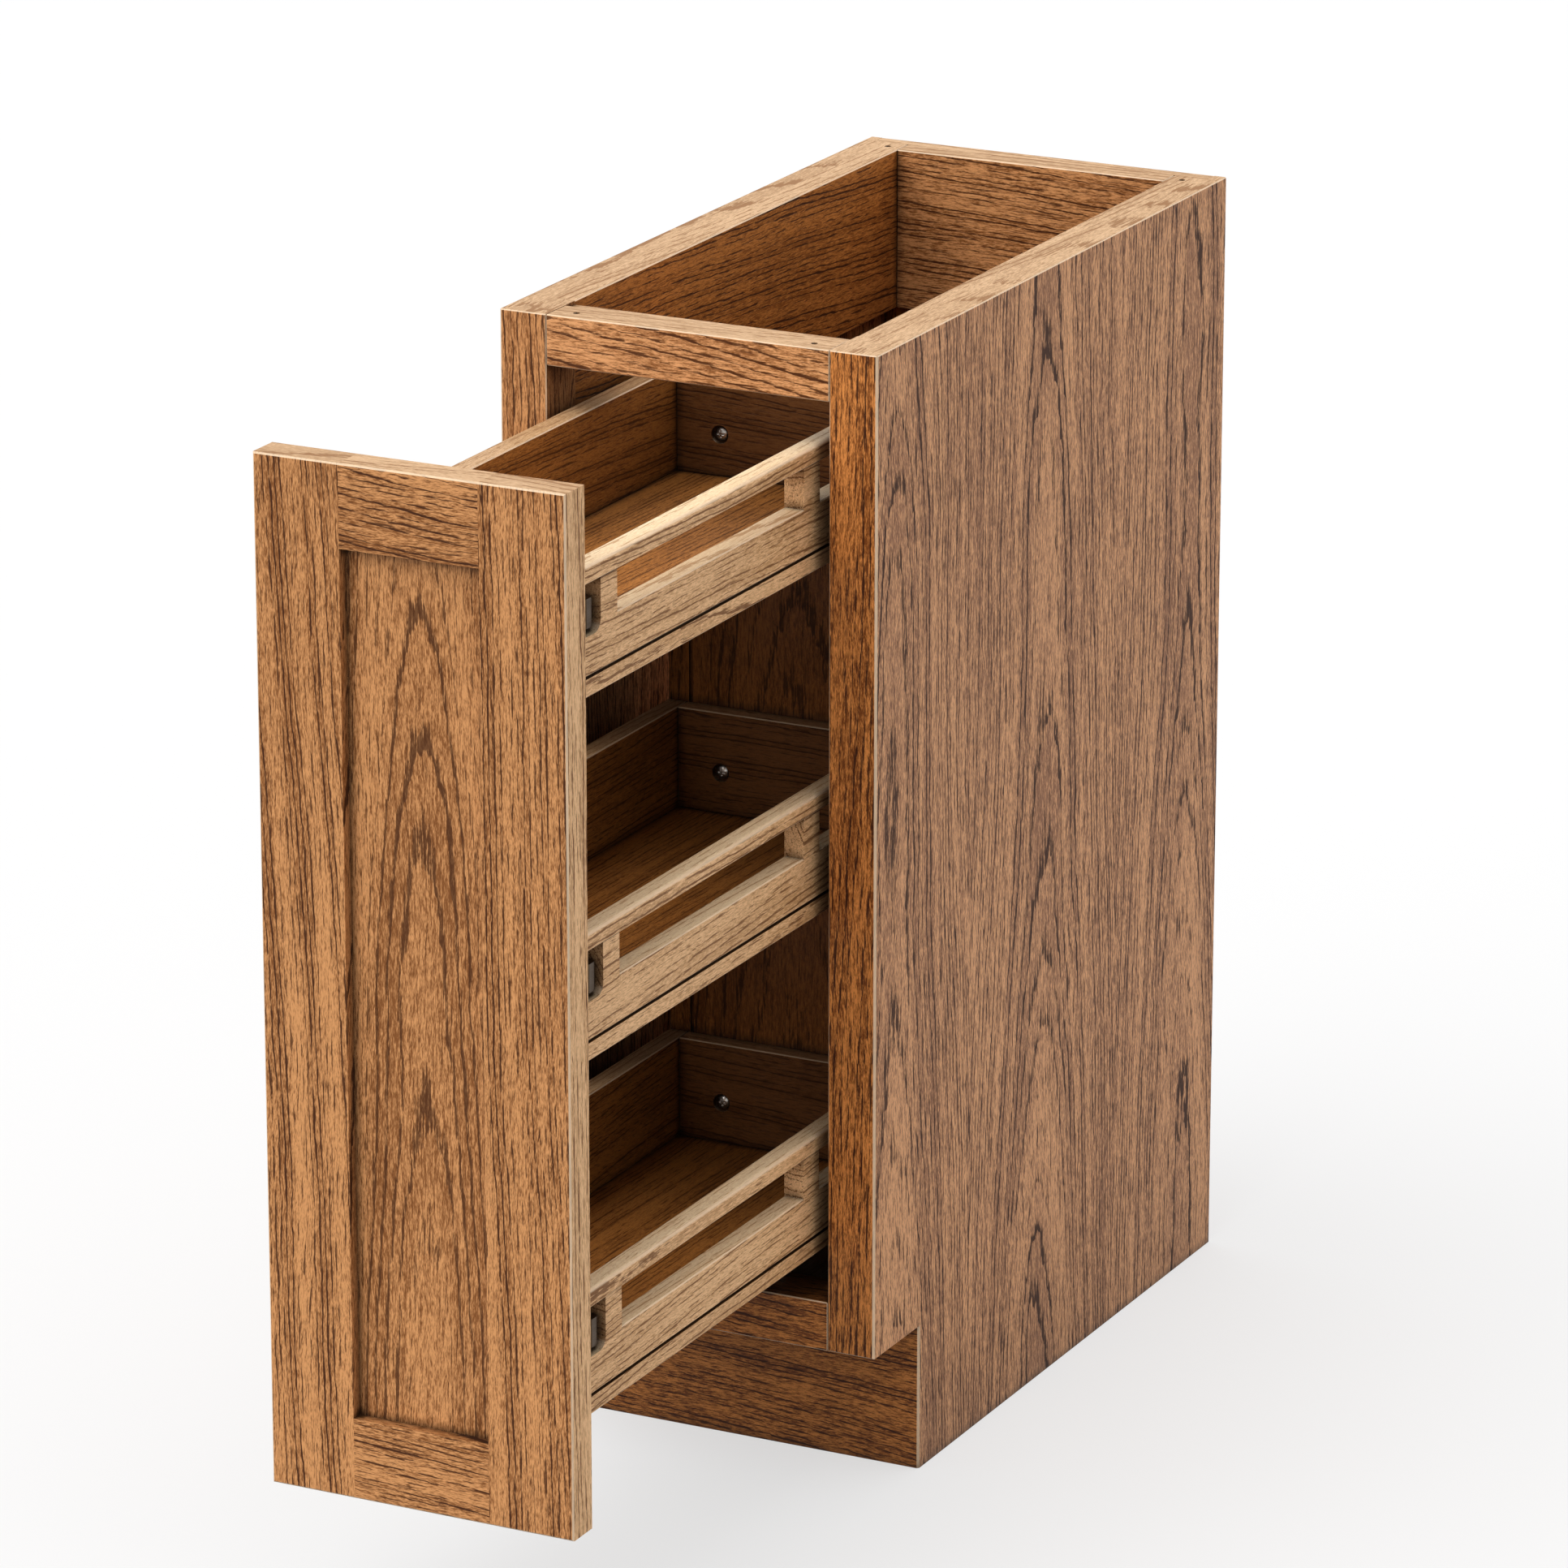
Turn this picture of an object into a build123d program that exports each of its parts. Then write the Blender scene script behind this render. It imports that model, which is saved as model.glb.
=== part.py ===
"""Narrow base cabinet with a pull-out pantry: an oak case with a face frame and a toe kick, and a
carriage of three trays behind a frame-and-panel door, running on two telescopic ball slides.

Millimetres, +Z up, +X to the right, the front faces -Y. The carriage stands part way out, and the
origin is on the floor in the middle of the whole footprint.
"""

import os
from math import cos, radians, sin

from build123d import *

os.makedirs("parts", exist_ok=True)

INCH = 25.4

# Case
cabinet_width = 12 * INCH
cabinet_depth = 24 * INCH
cabinet_height = 34.5 * INCH
side_thickness = 0.75 * INCH
stile_width = 1.5 * INCH
frame_depth = 1.75 * INCH
top_rail_height = 1.5 * INCH
bottom_rail_height = 1.5 * INCH
rebate_depth = 16.0
rebate_drop = 3.0
toe_height = 4.5 * INCH
toe_depth = 3 * INCH
deck_thickness = 0.75 * INCH
cleat_size = 0.75 * INCH
back_thickness = 0.5 * INCH
back_rabbet = 0.375 * INCH
hanging_rail_thickness = 0.75 * INCH
hanging_rail_height = 5 * INCH
side_rail_height = 5 * INCH
base_rail_thickness = 0.75 * INCH
arris = 0.8
corner_ease = 1.6

# Case joints and fixing holes
dowel_diameter = 8.0
dowel_length = 30.0
dowel_spacing = 18.0
dowel_clearance = 0.05
worktop_hole_diameter = 5.0
worktop_hole_depth = 30.0
front_hole_inset = 18.3
front_hole_setback = 13.0
rear_hole_inset = 26.4
rear_hole_setback = 24.0

# Fasteners and the holes that they fill are drawn with this many flats
fastener_flat_count = 12

# Carriage
extension = 380.0
closed_gap = 2.0
slide_travel = 20 * INCH
door_overlay = 0.25 * INCH
door_thickness = 1.125 * INCH
door_reveal = 3.2
door_stile_width = 2.625 * INCH
door_rail_height = 2.375 * INCH
door_panel_thickness = 9.5
door_panel_recess = 9.5
door_groove_depth = 8.0
door_groove_clearance = 0.1
door_panel_play = 0.5
door_ease = 1.2
bumper_diameter = 10.0
bumper_thickness = 1.8
bumper_inset = 19.3

# Trays
tray_count = 3
tray_side_gap = 12.3
tray_rear_gap = 15.8
tray_wall = 0.625 * INCH
tray_floor = 15.0
tray_wall_height = 79.0
tray_lift = 34.6
tray_headroom = 33.2
open_side_board = 35.0
front_post = 80.0
middle_post_start = 365.0
post_width = 25.0
tray_rail_overhang = 1.5
tray_rail_height = 13.0
tray_rail_round = 4.0
slot_length = 34.0
slot_corner = 9.0
slot_start = 22.0
slot_sill = 28.0
tray_groove_height = 2.0
tray_groove_depth = 3.0
upright_thickness = 0.75 * INCH
upright_rise = 10.0
bead_inset = 19.0
bead_width = 3.0
bead_depth = 2.0

# Tray fixings
bracket_thickness = 2.0
bracket_leg = 38.0
bracket_height = 48.0
bracket_lift = 5.0
lug_gap = 4.0
lug_recess = 3.0
lug_round = 4.5
lug_groove = 3.0
screw_diameter = 4.0
screw_clearance = 0.1
screw_bite = 12.0
pan_diameter = 8.0
pan_height = 2.6
dome_diameter = 10.0
dome_height = 3.0
dome_round = 1.6
counterbore_diameter = 14.0
counterbore_depth = 4.0
tray_screw_inset = 36.125
tray_screw_height = 32.0

# Telescopic slides: three nested channels and two ball cages on each side of the runner
runner_width = 80.0
runner_clearance = 2.0
slide_thickness = 12.7
slide_height = 31.2
slide_sheet = 1.2
slide_step = 2.6
slide_setback = 6.0
race_gap = 2.6
ball_diameter = 3.2
ball_clearance = 0.1
ball_flat_count = 6
ball_row_count = 3
ball_pitch = 56.0
cage_sheet = 0.6
cage_length = 200.0
angle_thickness = 2.0
angle_foot = 25.0
angle_length = 440.0
angle_screw_count = 4

# Places worked out from the sizes above
half_width = cabinet_width / 2
half_inside = half_width - side_thickness
half_opening = half_width - stile_width
front_y = (extension + door_thickness - cabinet_depth) / 2
frame_back_y = front_y + frame_depth
back_y = front_y + cabinet_depth
back_front_y = back_y - back_thickness
hanging_front_y = back_front_y - hanging_rail_thickness
toe_y = front_y + toe_depth
toe_back_y = toe_y + side_thickness
deck_top = toe_height + deck_thickness
bottom_rail_top = toe_height + bottom_rail_height
top_rail_bottom = cabinet_height - top_rail_height
door_back_y = front_y - extension
door_front_y = door_back_y - door_thickness
door_bottom = toe_height + door_reveal
door_top = cabinet_height - door_reveal
door_height = door_top - door_bottom
panel_y = (door_front_y + door_panel_recess, door_front_y + door_panel_recess + door_panel_thickness)
half_tray = half_opening - tray_side_gap
half_tray_inside = half_tray - tray_wall
open_post_height = tray_wall_height - tray_rail_height
pulled_out = extension - closed_gap
tray_back_y = hanging_front_y - tray_rear_gap - upright_thickness - pulled_out
tray_lowest = bottom_rail_top + tray_lift
tray_highest = top_rail_bottom - tray_headroom - tray_wall_height - tray_floor
tray_pitch = (tray_highest - tray_lowest) / (tray_count - 1)
tray_bottoms = [tray_highest - tray_pitch * n for n in range(tray_count)]
slide_length = slide_travel
slide_z = (bottom_rail_top + tray_lowest) / 2
slide_y = front_y + slide_setback


def save(part, name):
    """Label a finished piece and write its STEP file."""
    part.label = name
    export_step(part, f"parts/{name}.step")


def span(low, high):
    """The middle and the length of a span."""
    return (low + high) / 2, high - low


def block(x, y, z):
    """A square-edged block filling three (low, high) spans."""
    (x_mid, x_size), (y_mid, y_size) = span(*x), span(*y)
    with BuildPart() as piece:
        with BuildSketch(Plane.XY.offset(z[0])):
            with Locations((x_mid, y_mid)):
                Rectangle(x_size, y_size)
        extrude(amount=z[1] - z[0])
    return piece.part


def board(x, y, z):
    """A planed board filling three (low, high) spans, with every edge broken by a small chamfer."""
    with BuildPart() as piece:
        add(block(x, y, z))
        chamfer(piece.edges(), length=arris)
    return piece.part


def section_plane(y):
    """A plane across the depth at y: sketch X is +X, sketch Y is +Z, and the normal is -Y."""
    return Plane.XZ.offset(-y)


def side_plane(x):
    """A plane across the width at x: sketch X is +Y, sketch Y is +Z, and the normal is +X."""
    return Plane.YZ.offset(x)


# Side panels: their front edges are mitred to the stiles above and to the toe kick below
def side_panel(hand):
    outer = hand * half_width
    inner = hand * half_inside
    ease_x = hand * (half_width - corner_ease / 2)

    def outline(y_front):
        return [
            (outer, y_front + corner_ease),
            (ease_x, y_front + corner_ease / 2),
            (inner, y_front + side_thickness),
            (inner, back_y),
            (outer, back_y),
        ]

    with BuildPart() as panel:
        with BuildSketch(Plane.XY.offset(toe_height)):
            with BuildLine():
                Polyline(*outline(front_y), close=True)
            make_face()
        extrude(amount=cabinet_height - toe_height)
        with BuildSketch():
            with BuildLine():
                Polyline(*outline(toe_y), close=True)
            make_face()
        extrude(amount=toe_height)
        with BuildSketch(Plane.XY.offset(toe_height)):
            with Locations((inner + hand * back_rabbet / 2, back_y - back_thickness / 2)):
                Rectangle(back_rabbet, back_thickness)
        extrude(amount=cabinet_height - toe_height, mode=Mode.SUBTRACT)
        long_edges = panel.edges().filter_by(Axis.Y)
        chamfer(long_edges.group_by(Axis.Z)[-1].sort_by(Axis.X)[-1 if hand > 0 else 0], length=arris)
    return panel.part


save(side_panel(-1), "left_side_panel")
save(side_panel(1), "right_side_panel")


# Dowels lie along X across each joint between a rail and its neighbour
dowel_sites = []
for dowel_x in (-half_opening, half_opening):
    for rail_z in (cabinet_height - top_rail_height / 2, toe_height + bottom_rail_height / 2):
        for offset in (-dowel_spacing / 2, dowel_spacing / 2):
            dowel_sites.append((dowel_x, front_y + frame_depth / 2 + offset, rail_z))


def cut_dowel_holes(part):
    """A copy of a part with the dowel holes bored where dowels cross it."""
    with BuildPart() as bored:
        add(part)
        for x, y, z in dowel_sites:
            with BuildSketch(side_plane(x)):
                with Locations((y, z)):
                    RegularPolygon(dowel_diameter / 2 + dowel_clearance, fastener_flat_count)
            extrude(amount=dowel_length / 2 + dowel_clearance, both=True, mode=Mode.SUBTRACT)
    return bored.part


with BuildPart() as frame_dowels:
    for site_x, site_y, site_z in dowel_sites:
        with BuildSketch(side_plane(site_x)):
            with Locations((site_y, site_z)):
                RegularPolygon(dowel_diameter / 2, fastener_flat_count)
        extrude(amount=dowel_length / 2, both=True)
save(frame_dowels.part, "frame_dowels")


# Face frame: each stile wraps round the mitred front of its side panel
def stile(hand):
    def at(inward, back):
        return hand * (half_width - inward), front_y + back

    with BuildPart() as post:
        with BuildSketch(Plane.XY.offset(toe_height)):
            with BuildLine():
                Polyline(
                    at(corner_ease, 0),
                    at(stile_width, 0),
                    at(stile_width, frame_depth),
                    at(side_thickness, frame_depth),
                    at(side_thickness, side_thickness),
                    at(corner_ease / 2, corner_ease / 2),
                    close=True,
                )
            make_face()
        extrude(amount=cabinet_height - toe_height)
        upright_edges = post.edges().filter_by(Axis.Z).group_by(Axis.Y)[0]
        chamfer(upright_edges.sort_by(Axis.X)[0 if hand > 0 else -1], length=arris)
        front_edges = post.edges().filter_by(Axis.X).group_by(Axis.Y)[0]
        chamfer(front_edges, length=arris)
    return cut_dowel_holes(post.part)


save(stile(-1), "left_stile")
save(stile(1), "right_stile")

opening_x = (-half_opening, half_opening)
frame_y = (front_y, frame_back_y)
front_hole_y = front_y + front_hole_setback
rear_hole_y = back_y - rear_hole_setback

with BuildPart() as top_rail:
    add(cut_dowel_holes(board(opening_x, frame_y, (top_rail_bottom, cabinet_height))))
    with BuildSketch(Plane.XY.offset(cabinet_height)):
        with Locations((0, frame_back_y - rebate_depth / 2)):
            Rectangle(2 * half_opening, rebate_depth)
    extrude(amount=-rebate_drop, mode=Mode.SUBTRACT)
    with Locations((0, front_hole_y, cabinet_height)):
        with GridLocations(2 * (half_opening - front_hole_inset), 1, 2, 1):
            Hole(worktop_hole_diameter / 2, depth=worktop_hole_depth)
save(top_rail.part, "top_rail")

save(cut_dowel_holes(board(opening_x, frame_y, (toe_height, bottom_rail_top))), "bottom_rail")

# Top of the case: a hanging rail at the back and a rail along each side, flush with the stiles. Edges
# are left square where a glued seam has to lie flush.
hanging_z = (cabinet_height - hanging_rail_height, cabinet_height)
with BuildPart() as hanging_rail:
    add(block(opening_x, (hanging_front_y, back_front_y), hanging_z))
    glued_edges = hanging_rail.faces().sort_by(Axis.Y)[-1].edges()
    chamfer(hanging_rail.edges() - glued_edges, length=arris)
save(hanging_rail.part, "hanging_rail")


def top_side_rail(hand):
    x = sorted((hand * half_opening, hand * half_inside))
    with BuildPart() as rail:
        add(block(x, (frame_back_y, back_front_y), (cabinet_height - side_rail_height, cabinet_height)))
        inner_edges = rail.edges().filter_by(Axis.Y).group_by(Axis.X)[0 if hand > 0 else -1]
        chamfer(inner_edges, length=arris)
        with Locations((hand * (half_width - rear_hole_inset), rear_hole_y, cabinet_height)):
            Hole(worktop_hole_diameter / 2, depth=worktop_hole_depth)
    return rail.part


save(top_side_rail(-1), "left_top_side_rail")
save(top_side_rail(1), "right_top_side_rail")

# Back, deck and base
half_back = half_inside + back_rabbet
with BuildPart() as back_panel:
    add(block((-half_back, half_back), (back_front_y, back_y), (toe_height, cabinet_height)))
    chamfer(back_panel.faces().sort_by(Axis.Y)[-1].edges(), length=arris)
save(back_panel.part, "back_panel")
inside_x = (-half_inside, half_inside)
save(board(inside_x, (back_y - base_rail_thickness, back_y), (0, toe_height)), "rear_base_rail")

with BuildPart() as deck_cleats:
    for cleat_x in ((-half_inside, -half_inside + cleat_size), (half_inside - cleat_size, half_inside)):
        add(board(cleat_x, (toe_back_y, back_y - base_rail_thickness), (toe_height - cleat_size, toe_height)))
save(deck_cleats.part, "deck_cleats")

with BuildPart() as toe_kick:
    with BuildSketch():
        with BuildLine():
            Polyline(
                (-half_width + corner_ease, toe_y),
                (half_width - corner_ease, toe_y),
                (half_width - corner_ease / 2, toe_y + corner_ease / 2),
                (half_inside, toe_back_y),
                (-half_inside, toe_back_y),
                (-half_width + corner_ease / 2, toe_y + corner_ease / 2),
                close=True,
            )
        make_face()
    extrude(amount=toe_height)
save(toe_kick.part, "toe_kick")


# Door: two full-height stiles, two rails with stub tenons, and a flat panel held in their grooves
half_door = half_opening + door_overlay
half_panel = half_door - door_stile_width
groove_y = (panel_y[0] - door_groove_clearance, panel_y[1] + door_groove_clearance)
door_y = (door_front_y, door_back_y)
tenon_length = door_groove_depth - door_panel_play
door_screw_x = half_tray_inside - bracket_leg / 2
door_screw_sites = []
for tray_bottom in tray_bottoms:
    screw_z = tray_bottom + tray_floor + bracket_lift + bracket_height / 2
    door_screw_sites += [(-door_screw_x, screw_z), (door_screw_x, screw_z)]


def cut_door_screw_holes(part, y_low, y_high):
    """A copy of a part with the door screws' holes bored from y_low to y_high."""
    with BuildPart() as bored:
        add(part)
        with BuildSketch(section_plane(y_high)):
            with Locations(*door_screw_sites):
                RegularPolygon(screw_diameter / 2 + screw_clearance, fastener_flat_count)
        extrude(amount=y_high - y_low, mode=Mode.SUBTRACT)
    return bored.part


def door_stile(hand):
    x = sorted((hand * half_panel, hand * half_door))
    groove_x = sorted((hand * half_panel, hand * (half_panel + door_groove_depth)))
    with BuildPart() as member:
        add(block(x, door_y, (door_bottom, door_top)))
        upright_edges = member.edges().filter_by(Axis.Z).group_by(Axis.X)
        end_edges = member.edges().filter_by(Axis.X)
        chamfer(upright_edges[-1 if hand > 0 else 0] + end_edges, length=door_ease)
        add(block(groove_x, groove_y, (door_bottom + door_ease, door_top - door_ease)), mode=Mode.SUBTRACT)
    return cut_door_screw_holes(member.part, door_back_y - screw_bite - screw_clearance, door_back_y)


def door_rail(outer_z, inner_z):
    z = sorted((outer_z, inner_z))
    inward = 1 if inner_z > outer_z else -1
    groove_z = sorted((inner_z, inner_z - inward * door_groove_depth))
    half_tenoned = half_panel + tenon_length
    with BuildPart() as member:
        add(block((-half_panel, half_panel), door_y, z))
        outer_edges = member.edges().filter_by(Axis.X).group_by(Axis.Z)[0 if inward > 0 else -1]
        chamfer(outer_edges, length=door_ease)
        tenon_z = sorted((outer_z + inward * door_ease, inner_z))
        add(block((-half_tenoned, half_tenoned), panel_y, tenon_z))
        add(block((-half_tenoned, half_tenoned), groove_y, groove_z), mode=Mode.SUBTRACT)
    return member.part


save(door_stile(-1), "door_left_stile")
save(door_stile(1), "door_right_stile")
save(door_rail(door_top, door_top - door_rail_height), "door_top_rail")
save(door_rail(door_bottom, door_bottom + door_rail_height), "door_bottom_rail")
half_panel_sheet = half_panel + tenon_length
panel_z = (door_bottom + door_rail_height - tenon_length, door_top - door_rail_height + tenon_length)
save(block((-half_panel_sheet, half_panel_sheet), panel_y, panel_z), "door_panel")

with BuildPart() as door_bumpers:
    with BuildSketch(section_plane(door_back_y)):
        with Locations((0, (top_rail_bottom + door_top) / 2), (0, (door_bottom + bottom_rail_top) / 2)):
            with GridLocations(2 * (half_opening - bumper_inset), 1, 2, 1):
                RegularPolygon(bumper_diameter / 2, 2 * fastener_flat_count)
    extrude(amount=-bumper_thickness)
save(door_bumpers.part, "door_bumpers")


# Trays: a floor board carries a solid left side, front and back, and an open right side under a rail
tray_y = (door_back_y, tray_back_y)
tray_front_y = (door_back_y, door_back_y + tray_wall)
tray_rear_y = (tray_back_y - tray_wall, tray_back_y)
tray_inside_x = (-half_tray_inside, half_tray_inside)
tray_screw_sites = [
    (side * (half_tray_inside - tray_screw_inset), tray_bottom + tray_floor + tray_screw_height)
    for tray_bottom in tray_bottoms
    for side in (-1, 1)
]


def open_side(floor):
    """The right side: a low board with a post at the door, one near the middle and one at the back. A slot
    with round lower corners, open up to the rail, shows the door bracket behind the front post."""
    windows = [
        (door_back_y + front_post, door_back_y + middle_post_start),
        (door_back_y + middle_post_start + post_width, tray_back_y - post_width),
    ]
    sill = floor + open_side_board
    top = floor + open_post_height
    slot_z, slot_height = span(floor + slot_sill, top + slot_corner)
    with BuildPart() as side:
        add(board((half_tray_inside, half_tray), tray_y, (floor, top)))
        for low, high in windows:
            middle, length = span(low, high)
            with BuildSketch(side_plane(half_tray)):
                with Locations((middle, (sill + top) / 2)):
                    Rectangle(length, top - sill)
            extrude(amount=-tray_wall, mode=Mode.SUBTRACT)
        sill_edges = side.edges().filter_by(Axis.Y).filter_by_position(Axis.Z, sill - arris, sill + arris)
        chamfer(sill_edges, length=arris)
        with BuildSketch(side_plane(half_tray)):
            with Locations((door_back_y + slot_start + slot_length / 2, slot_z)):
                RectangleRounded(slot_length, slot_height, slot_corner)
        extrude(amount=-tray_wall, mode=Mode.SUBTRACT)
    return side.part


def tray_rail(z):
    """The rail over the open side: a bar with both top edges well rounded."""
    rail_x = (half_tray_inside, half_tray + tray_rail_overhang)
    with BuildPart() as rail:
        add(block(rail_x, tray_y, (z, z + tray_rail_height)))
        along = rail.edges().filter_by(Axis.Y)
        fillet(along.group_by(Axis.Z)[-1], radius=tray_rail_round)
        chamfer(rail.edges().filter_by(Axis.Y).group_by(Axis.Z)[0], length=arris)
    return rail.part


def tray_base(z):
    """The floor board, with a shadow groove along its sides at the foot of the walls."""
    length = tray_y[1] - tray_y[0]
    with BuildPart() as base:
        add(board((-half_tray, half_tray), tray_y, z))
        with BuildSketch(Plane.XY.offset(z[1])):
            with Locations((0, tray_y[0] + length / 2)):
                with GridLocations(2 * half_tray, 1, 2, 1):
                    Rectangle(2 * tray_groove_depth, length)
        extrude(amount=-tray_groove_height, mode=Mode.SUBTRACT)
    return base.part


def tray_back(floor):
    """The back wall, counterbored for the two screws that hold it to the rear upright."""
    with BuildPart() as wall:
        add(board(tray_inside_x, tray_rear_y, (floor, floor + tray_wall_height)))
        bores = (
            (counterbore_depth, counterbore_diameter, 2 * fastener_flat_count),
            (tray_wall, screw_diameter, fastener_flat_count),
        )
        for depth, diameter, flats in bores:
            with BuildSketch(section_plane(tray_rear_y[0])):
                with Locations(*tray_screw_sites):
                    RegularPolygon(diameter / 2 + screw_clearance, flats)
            extrude(amount=-depth, mode=Mode.SUBTRACT)
    return wall.part


for number, tray_bottom in enumerate(tray_bottoms, start=1):
    tray = f"tray_{number}"
    floor = tray_bottom + tray_floor
    wall_z = (floor, floor + tray_wall_height)
    save(tray_base((tray_bottom, floor)), f"{tray}_floor")
    save(board((-half_tray, -half_tray_inside), tray_y, wall_z), f"{tray}_left_side")
    save(open_side(floor), f"{tray}_right_side")
    save(tray_rail(floor + open_post_height), f"{tray}_rail")
    front = board(tray_inside_x, tray_front_y, wall_z)
    save(cut_door_screw_holes(front, *tray_front_y), f"{tray}_front")
    save(tray_back(floor), f"{tray}_back")

# Rear upright: ties the trays together behind, with a bead run down each edge
upright_top = tray_bottoms[0] + tray_floor + tray_wall_height + upright_rise
upright_y = (tray_back_y, tray_back_y + upright_thickness)
with BuildPart() as rear_upright:
    add(board((-half_tray, half_tray), upright_y, (tray_lowest, upright_top)))
    with BuildSketch(Plane.XY.offset(tray_lowest)):
        with Locations((0, upright_y[0] + bead_depth / 2)):
            with GridLocations(2 * (half_tray - bead_inset), 1, 2, 1):
                Rectangle(bead_width, bead_depth)
    extrude(amount=upright_top - tray_lowest, mode=Mode.SUBTRACT)
    with BuildSketch(section_plane(upright_y[0])):
        with Locations(*tray_screw_sites):
            RegularPolygon(screw_diameter / 2 + screw_clearance, fastener_flat_count)
    extrude(amount=-screw_bite - screw_clearance, mode=Mode.SUBTRACT)
save(rear_upright.part, "rear_upright")

half_runner = runner_width / 2
runner_bottom = bottom_rail_top + runner_clearance
runner_y = (door_back_y + closed_gap + slide_setback, tray_back_y)
save(board((-half_runner, half_runner), runner_y, (runner_bottom, tray_lowest)), "runner_beam")

# Door brackets: a steel angle in each front corner of a tray, screwed through the front into the door. On the
# right each carries a reeded lug that stands in the slot of the tray's side.
bracket_y = tray_front_y[1]
lug_x = (half_tray_inside, half_tray - lug_recess)
lug_y = (door_back_y + slot_start + lug_gap, door_back_y + slot_start + slot_length - lug_gap)


def door_bracket(hand, z):
    def at(inward, back):
        return hand * (half_tray_inside - inward), bracket_y + back

    with BuildPart() as angle:
        with BuildSketch(Plane.XY.offset(z)):
            with BuildLine():
                Polyline(
                    at(0, 0),
                    at(bracket_leg, 0),
                    at(bracket_leg, bracket_thickness),
                    at(bracket_thickness, bracket_thickness),
                    at(bracket_thickness, bracket_leg),
                    at(0, bracket_leg),
                    close=True,
                )
            make_face()
        extrude(amount=bracket_height)
    return cut_door_screw_holes(angle.part, bracket_y, bracket_y + bracket_thickness)


def slot_lug(floor):
    """The lug of a right-hand bracket: a bar with round outer edges and an upright groove between them."""
    lug_z = (floor + slot_sill + lug_gap, floor + bracket_lift + bracket_height)
    with BuildPart() as lug:
        add(block(lug_x, lug_y, lug_z))
        outer = lug.edges().filter_by(Axis.Z).group_by(Axis.X)[-1]
        fillet(outer, radius=lug_round)
        with BuildSketch(Plane.XY.offset(lug_z[0])):
            with Locations((lug_x[1], span(*lug_y)[0])):
                Rectangle(lug_groove, lug_groove, rotation=45)
        extrude(amount=lug_z[1] - lug_z[0], mode=Mode.SUBTRACT)
    return lug.part


with BuildPart() as door_brackets:
    for tray_bottom in tray_bottoms:
        for hand in (-1, 1):
            add(door_bracket(hand, tray_bottom + tray_floor + bracket_lift))
        add(slot_lug(tray_bottom + tray_floor))
save(door_brackets.part, "door_brackets")


def pan_screw(length):
    """A pan-head screw along -Z with the underside of its head at the origin."""
    with BuildPart() as screw:
        with BuildSketch():
            RegularPolygon(screw_diameter / 2, fastener_flat_count)
        extrude(amount=-length)
        with BuildSketch():
            RegularPolygon(pan_diameter / 2, fastener_flat_count)
        extrude(amount=pan_height)
        chamfer(screw.faces().sort_by(Axis.Z)[-1].edges(), length=pan_height / 3)
    return screw.part


def dome_screw(length):
    """A dome-head screw along -Z with the underside of its head at the origin."""
    with BuildPart() as screw:
        with BuildSketch():
            RegularPolygon(screw_diameter / 2, fastener_flat_count)
        extrude(amount=-length)
        with BuildSketch():
            RegularPolygon(dome_diameter / 2, fastener_flat_count)
        extrude(amount=dome_height)
        chamfer(screw.faces().sort_by(Axis.Z)[-1].edges(), length=dome_round)
    return screw.part


with BuildPart() as door_screws:
    door_screw = pan_screw(bracket_thickness + tray_wall + screw_bite)
    for site_x, site_z in door_screw_sites:
        with Locations(Plane((site_x, bracket_y + bracket_thickness, site_z), z_dir=(0, 1, 0))):
            add(door_screw)
save(door_screws.part, "door_screws")

with BuildPart() as tray_screws:
    seat_y = tray_rear_y[0] + counterbore_depth
    tray_screw = dome_screw(tray_wall - counterbore_depth + screw_bite)
    for site_x, site_z in tray_screw_sites:
        with Locations(Plane((site_x, seat_y, site_z), z_dir=(0, -1, 0))):
            add(tray_screw)
save(tray_screws.part, "tray_screws")

# Slides: on each side an outer channel on the case, a middle channel and an inner channel on the runner
half_outer = slide_height / 2
half_middle = half_outer - slide_sheet - race_gap
half_inner = half_middle - slide_sheet - race_gap
outer_row = half_outer - slide_sheet - race_gap / 2
inner_row = half_middle - slide_sheet - race_gap / 2
middle_web = slide_step
inner_tip = 2 * slide_step
outer_tip = slide_thickness - slide_sheet - slide_step
middle_tip = slide_thickness - 2 * slide_sheet
cage_gap = (slide_step - slide_sheet - cage_sheet) / 2
outer_ball = slide_thickness / 2
inner_ball = slide_thickness / 2 + slide_sheet


def slide_x(hand, inward):
    """X of a point that lies inward from the face of the slide's outer channel."""
    return hand * (half_runner + slide_thickness - inward)


def channel(hand, y_low, length, web, tip, half, sheet, races=()):
    """A sheet-steel channel along Y, with its web at one depth, its flange tips at another, and a round
    race rolled into it for each row of balls that it carries."""
    inside = web + sheet if tip > web else web - sheet
    profile = [(web, -half), (tip, -half), (tip, sheet - half), (inside, sheet - half)]
    profile += [(depth, -height) for depth, height in reversed(profile)]
    with BuildPart() as member:
        with BuildSketch(section_plane(y_low + length)):
            with BuildLine():
                Polyline(*[(slide_x(hand, depth), slide_z + height) for depth, height in profile], close=True)
            make_face()
        extrude(amount=length)
        for depth, row in races:
            with BuildSketch(section_plane(y_low + length)):
                with Locations((slide_x(hand, depth), slide_z + row), (slide_x(hand, depth), slide_z - row)):
                    Circle(ball_diameter / 2 + ball_clearance)
            extrude(amount=length, mode=Mode.SUBTRACT)
    return member.part


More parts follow.
